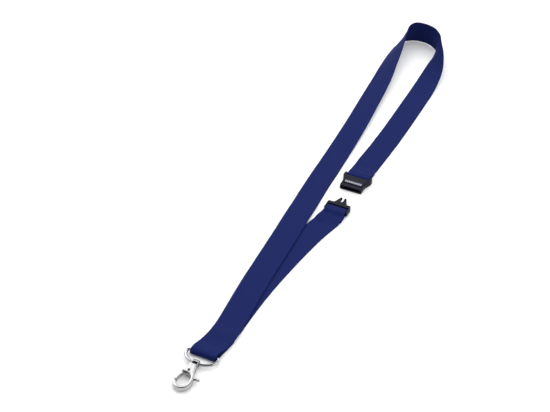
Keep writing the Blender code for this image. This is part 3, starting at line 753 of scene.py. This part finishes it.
# %% D-ring
X_RING, WIRE_R = 1.3, 1.1
RING_HW, SHOULDER_R, CORNER_R, ARC_R, RING_LEG = 11.9, 6.8, 1.85, 17.0, 2.03
arc_half = math.asin((RING_HW - SHOULDER_R) / (ARC_R - SHOULDER_R))
arc_y = (ARC_R - SHOULDER_R) * math.cos(arc_half) - RING_LEG
turn_at = -90 + math.degrees(arc_half)
half_ring = [(0.0, arc_y - ARC_R)] + arc(0.0, arc_y, ARC_R, -90, turn_at, 20)
half_ring += arc(RING_HW - SHOULDER_R, -RING_LEG, SHOULDER_R, turn_at, 0, 22)
half_ring += arc(RING_HW - CORNER_R, -CORNER_R, CORNER_R, 0, 90, 12)
half_ring += [(x, 0.0) for x in (8.0, 5.0, 2.0)]
ring_path = half_ring + [(-x, y) for x, y in half_ring[:0:-1]]
ring_wire = sweep("ring_wire", [(X_RING + x, y, RING_Z) for x, y in ring_path], WIRE_R, 32, True,
                  nickel_wire)
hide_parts("d_ring")
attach(ring_wire, "ring")
print("ring bottom arc spans", round(2 * math.degrees(arc_half), 1), "degrees")

# %% Torsion spring of the trigger
pivot = (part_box("hook_rivet")[0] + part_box("hook_rivet")[1]) / 2 / MM - SHIFT
spring_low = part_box("trigger_spring")[0] / MM - SHIFT
COIL_R, SPRING_R, COIL_PITCH, COIL_TURNS, TURN_STEPS = 1.25, 0.2, 0.5, 1.5, 36
coil = []
for k in range(int(TURN_STEPS * COIL_TURNS) + 1):
    a = math.radians(-90 + k * 360 / TURN_STEPS)
    coil.append((pivot.x + COIL_R * math.cos(a), pivot.y + COIL_R * math.sin(a),
                 spring_low.z + SPRING_R + COIL_PITCH * k / TURN_STEPS))
end = np.array(coil[-1])
coil += [tuple(end + (-0.12, 0.3, 0.0)), tuple(end + (-0.45, 0.75, 0.02)),
         tuple(end + (-0.5, 1.35, 0.02))]
spring_coil = sweep("spring_coil", coil, SPRING_R, 16, False, spring_steel)
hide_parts("trigger_spring")
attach(spring_coil, "hook")

# %% [markdown]
# ## Castings and mouldings from their solids
#
# The hook, its trigger and both buckle halves have exact solids already. A real casting or moulding
# has no sharp edge anywhere, because its die has none. So each solid is copied and merged, then built
# again from a fine grid of equal cells, and that skin is relaxed. The cells are 0.12 to 0.17 mm wide,
# so the shape stays and every edge gets its small round. More rounds of relaxing give a rounder edge:
# the tumbled hook gets sixteen, the crisper mouldings three.

# %% Copy, rebuild and relax a solid
MERGE = 0.001


def relaxed_copy(name, node, cell_mm, rounds, material):
    """Merged copy of a CAD node, remeshed in cells of cell_mm and smoothed by some rounds."""
    bm = bmesh.new()
    bm.from_mesh(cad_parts[node].data)
    bmesh.ops.remove_doubles(bm, verts=bm.verts, dist=MERGE * MM)
    mesh = bpy.data.meshes.new(name)
    bm.to_mesh(mesh)
    bm.free()
    obj = link_mesh(name, mesh, material)
    grid = obj.modifiers.new("cells", "REMESH")
    grid.mode, grid.voxel_size, grid.use_smooth_shade = "VOXEL", cell_mm * MM, True
    relax = obj.modifiers.new("relax", "SMOOTH")
    relax.factor, relax.iterations = 0.5, rounds
    deps = bpy.context.evaluated_depsgraph_get()
    made = bpy.data.meshes.new_from_object(obj.evaluated_get(deps))
    obj.modifiers.clear()
    obj.data = made
    made.materials.clear()
    made.materials.append(material)
    made.polygons.foreach_set("use_smooth", [True] * len(made.polygons))
    print(f"{name}: {len(made.polygons)} faces")
    return obj


# %% Hook casting and trigger
hook_casting = relaxed_copy("hook_casting", "hook_body", 0.15, 16, nickel_cast)
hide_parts("hook_body")
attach(hook_casting, "hook")
trigger_casting = relaxed_copy("trigger_casting", "hook_trigger", 0.12, 4, nickel_cast)
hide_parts("hook_trigger")
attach(trigger_casting, "trigger")

# %% [markdown]
# The rivet is a plain pin whose ends are struck with a punch, so each end has a shallow dimple inside
# a rolled rim. A profile turned about the pin's axis gives that. Its metal is painted far darker than
# the plate, as painted shade for the dimples.

# %% Peened rivet


def lathe(name, profile, centre, sides, material):
    """Turn a profile of (radius, height) in mm about a vertical axis and close both poles."""
    bm = bmesh.new()
    rings = [[bm.verts.new((Vector((centre[0] + r * math.cos(a), centre[1] + r * math.sin(a), z))
                            + SHIFT) * MM)
              for a in np.linspace(0, 2 * math.pi, sides, endpoint=False)] for r, z in profile[1:-1]]
    poles = [bm.verts.new((Vector((centre[0], centre[1], profile[i][1])) + SHIFT) * MM)
             for i in (0, -1)]
    for a, b in zip(rings, rings[1:]):
        for k in range(sides):
            j = (k + 1) % sides
            bm.faces.new((a[k], a[j], b[j], b[k])).smooth = True
    for pole, ring in zip(poles, (rings[0], rings[-1])):
        for k in range(sides):
            bm.faces.new((pole, ring[k], ring[(k + 1) % sides])).smooth = True
    bmesh.ops.recalc_face_normals(bm, faces=bm.faces)
    mesh = bpy.data.meshes.new(name)
    bm.to_mesh(mesh)
    bm.free()
    return link_mesh(name, mesh, material)


rivet_low, rivet_high = [corner.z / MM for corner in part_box("hook_rivet")]
PEEN = [(0.0, 0.22), (0.22, 0.20), (0.42, 0.10), (0.55, 0.02), (0.66, 0.0), (0.74, 0.04),
        (0.79, 0.13), (0.8, 0.3)]
profile = ([(r, rivet_low + z) for r, z in PEEN]
           + [(r, rivet_high - z) for r, z in PEEN[::-1]])
rivet_pin = lathe("rivet_pin", profile, pivot, 40, rivet_metal_painted_shade)
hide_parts("hook_rivet")
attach(rivet_pin, "hook")
print("rivet from", round(rivet_low, 2), "to", round(rivet_high, 2), "mm")

# %% [markdown]
# ## Moulded acetal buckle
#
# Both halves are injection moulded in anthracite acetal, a slightly waxy plastic. The die is spark
# eroded, which leaves a fine grain of about 0.1 mm, drawn here at 0.25 mm so that it shows. Flat faces
# carry faint flow marks, edges are rubbed a little lighter, and deep corners get painted shade.

# %% Acetal material


def make_acetal(name, dark, body, worn):
    """Acetal with a painted-shade tone for its corners, a tone for its faces and one for its rubbed
    edges.
    """
    material, tree, shader = new_material(name)
    place = add(tree, "ShaderNodeTexCoord").outputs["Object"]
    grain = add(tree, "ShaderNodeTexNoise", {"Vector": place, "Scale": 1 / (0.25 * MM),
                                             "Detail": 2.0})
    flow = add(tree, "ShaderNodeTexNoise", {"Vector": place, "Scale": 1 / (7.0 * MM),
                                            "Detail": 2.0, "Distortion": 1.2})
    edge = add(tree, "ShaderNodeNewGeometry").outputs["Pointiness"]
    # painted shade: concave corners (low pointiness) take the dark colour; convex edges take the rubbed
    # colour
    tone = ramp(tree, edge, [(0.42, linear(dark)), (0.50, linear(body)), (0.60, linear(worn))])
    varied = add(tree, "ShaderNodeMix", {"Factor": flow.outputs["Fac"], "A": tone,
                                         "B": linear(body)}, data_type="RGBA")
    rough = ramp(tree, flow.outputs["Fac"], [(0.3, grey(0.36)), (0.7, grey(0.48))])
    bump = add(tree, "ShaderNodeBump", {"Height": grain.outputs["Fac"], "Strength": 0.35,
                                        "Distance": 0.03 * MM})
    set_shader(tree, shader, Base_Color=varied.outputs["Result"], Roughness=rough,
               Normal=bump.outputs["Normal"], IOR=1.48, Specular_IOR_Level=0.12)
    return material


# The first colour of each is painted shade for the corners.
socket_acetal = make_acetal("moulded_acetal_anthracite", "#040408", "#10101E", "#20203A")
plug_acetal = make_acetal("moulded_acetal_anthracite_plug", "#05060C", "#101220", "#1F2136")
socket_shell = relaxed_copy("socket_shell", "buckle_socket", 0.17, 3, socket_acetal)
plug_shell = relaxed_copy("plug_shell", "buckle_plug", 0.15, 3, plug_acetal)
for shell, node, body in ((socket_shell, "buckle_socket", "straps"),
                          (plug_shell, "buckle_plug", "plug")):
    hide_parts(node)
    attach(shell, body)
    print(shell.name, "rides on", body)

# %% [markdown]
# ## Printed mark on the socket
#
# The raised panel carries a small white pad-printed mark. Here it is a plain row of nine equal upright
# bars with no meaning, about 14 by 2.4 mm. It could be a pattern in the panel's material, but plates of
# ink need no map to place them and keep their edges crisp. Each is an outline with round ends, 0.05 mm
# proud of the panel, in a film of ink that handling has worn to an uneven grey-white.

# %% Ink and mark


def make_ink_material():
    """White ink, greyer where it has worn."""
    material, tree, shader = new_material("pad_printed_white_ink")
    place = add(tree, "ShaderNodeTexCoord").outputs["Object"]
    wear = add(tree, "ShaderNodeTexNoise", {"Vector": place, "Scale": 1 / (1.2 * MM), "Detail": 3.0})
    tone = ramp(tree, wear.outputs["Fac"], [(0.35, linear("#8F909C")), (0.60, linear("#C9C9D2"))])
    set_shader(tree, shader, Base_Color=tone, Roughness=0.5)
    return material


ink_white = make_ink_material()
INK_TOP, INK_SINK = 0.05, 0.04
MARK_Y, MARK_STEP, BAR_COUNT, BAR_HALF, BAR_REACH = 213.4, 1.6, 9, 0.40, 1.2


def upright_bar(x, y):
    """Outline of an upright bar with round ends."""
    points = arc(x, y + BAR_REACH - BAR_HALF, BAR_HALF, -30, 180, 7)
    return points + arc(x, y - BAR_REACH + BAR_HALF, BAR_HALF, 150, 360, 7)


def ink_bars(name, outlines, z_low, z_high, material):
    """Thin closed plates over each outline."""
    bm = bmesh.new()
    for outline in outlines:
        low, high = [[bm.verts.new((Vector((x, y, z)) + SHIFT) * MM) for x, y in outline]
                     for z in (z_low, z_high)]
        bm.faces.new(low)
        bm.faces.new(high)
        for k in range(len(low)):
            j = (k + 1) % len(low)
            bm.faces.new((low[k], low[j], high[j], high[k]))
    bmesh.ops.recalc_face_normals(bm, faces=bm.faces)
    mesh = bpy.data.meshes.new(name)
    bm.to_mesh(mesh)
    bm.free()
    return link_mesh(name, mesh, material)


panel_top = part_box("buckle_socket")[1].z / MM
mark = ink_bars("printed_mark",
                [upright_bar(BUCKLE_X + MARK_STEP * (k - BAR_COUNT // 2), MARK_Y)
                 for k in range(BAR_COUNT)],
                panel_top - INK_SINK, panel_top + INK_TOP, ink_white)
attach(mark, "straps")
print("mark:", BAR_COUNT, "bars")
